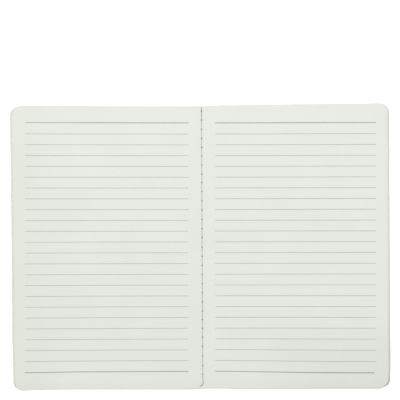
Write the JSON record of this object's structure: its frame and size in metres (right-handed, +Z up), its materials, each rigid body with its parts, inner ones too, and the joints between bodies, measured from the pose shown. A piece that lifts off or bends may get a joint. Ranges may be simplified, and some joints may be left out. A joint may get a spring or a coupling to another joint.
{
  "type": "composition notebook",
  "caption": "Sewn soft-cover notebook lying open at its middle spread: ruled pages with rounded corners, thread in the fold, and a back half that folds over to close it.",
  "frame": {"origin": "on the table, below the fold and halfway between head and tail", "axes": "+X from the fold to the back half's fore-edge, +Y from the tail to the head, +Z up from the table"},
  "size_m": [0.2814, 0.21, 0.0057],
  "materials": {
    "cover_card": "matt uncoated card",
    "paper": "matt uncoated writing paper",
    "ink": "thin grey printing ink on paper",
    "thread": "twisted sewing thread"
  },
  "bodies": {
    "front_half": {"front_cover": "cover_card", "front_leaves": "paper", "front_ruling": "ink", "inner_thread": "thread", "outer_thread": "thread"},
    "back_half": {"back_cover": "cover_card", "back_leaves": "paper", "back_ruling": "ink"}
  },
  "joints": [
    {"name": "fold", "type": "hinge", "parent": "front_half", "child": "back_half", "pos_m": [0, 0, 0.00276], "axis": [0, -1, 0], "range_deg": [0, 176]}
  ]
}
